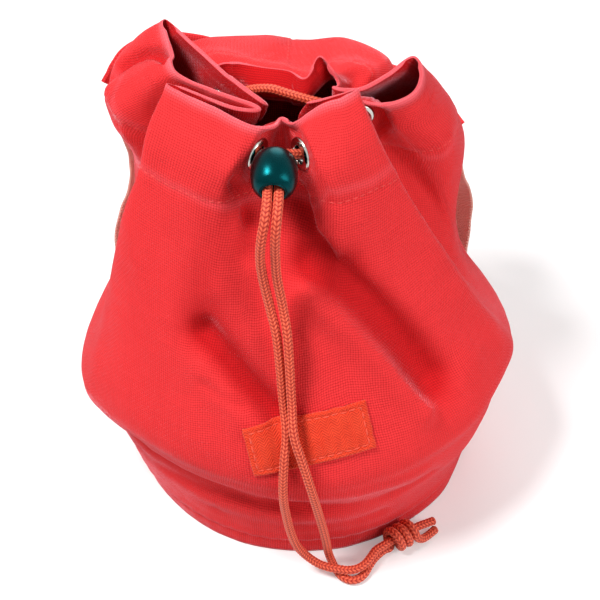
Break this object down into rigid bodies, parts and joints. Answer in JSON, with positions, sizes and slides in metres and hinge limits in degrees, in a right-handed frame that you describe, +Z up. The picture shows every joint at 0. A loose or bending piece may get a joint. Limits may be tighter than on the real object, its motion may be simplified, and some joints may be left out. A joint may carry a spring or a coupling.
{
  "type": "backpack",
  "caption": "Small slumped drawstring rucksack of coarse cotton canvas, its neck gathered through eyelets and held by a bead lock.",
  "frame": {"origin": "centre of the round base, on the surface that the bag stands on", "axes": "+Z up, -Y towards the front with the patch and the cord lock, +X to the right seen from the front"},
  "size_m": [0.2081, 0.208, 0.212],
  "materials": {
    "canvas": "coarse coral red cotton canvas, matt with pale bloom at grazing angles",
    "patch": "orange-red woven patch with tone-on-tone stitching",
    "cord": "braided orange-coral polyester cord, slight sheen",
    "bead": "dark teal moulded plastic with satin lustre",
    "nickel": "polished nickel plate",
    "webbing": "ribbed orange-beige cotton webbing"
  },
  "bodies": {
    "bag": {"base_panel": "canvas", "body_canvas": "canvas", "cord_knot": "cord", "drawstring_neck": "cord", "eyelet_front_left": "nickel", "eyelet_front_right": "nickel", "eyelet_left_front": "nickel", "eyelet_left_rear": "nickel", "eyelet_left_side": "nickel", "eyelet_rear_left": "nickel", "eyelet_right_front": "nickel", "eyelet_right_side": "nickel", "front_patch": "patch", "strand_left": "cord", "strand_right": "cord", "strap_canvas_left": "canvas", "strap_canvas_right": "canvas", "strap_webbing_left": "webbing", "strap_webbing_right": "webbing", "washer_front_left": "nickel", "washer_front_right": "nickel", "washer_left_front": "nickel", "washer_left_rear": "nickel", "washer_left_side": "nickel", "washer_rear_left": "nickel", "washer_right_front": "nickel", "washer_right_side": "nickel"},
    "lock": {"cord_lock_bead": "bead"}
  },
  "joints": [
    {"name": "lock_slide", "type": "slide", "parent": "bag", "child": "lock", "axis": [-0.03, -0.975, -0.22], "range_m": [0, 0.006]}
  ]
}
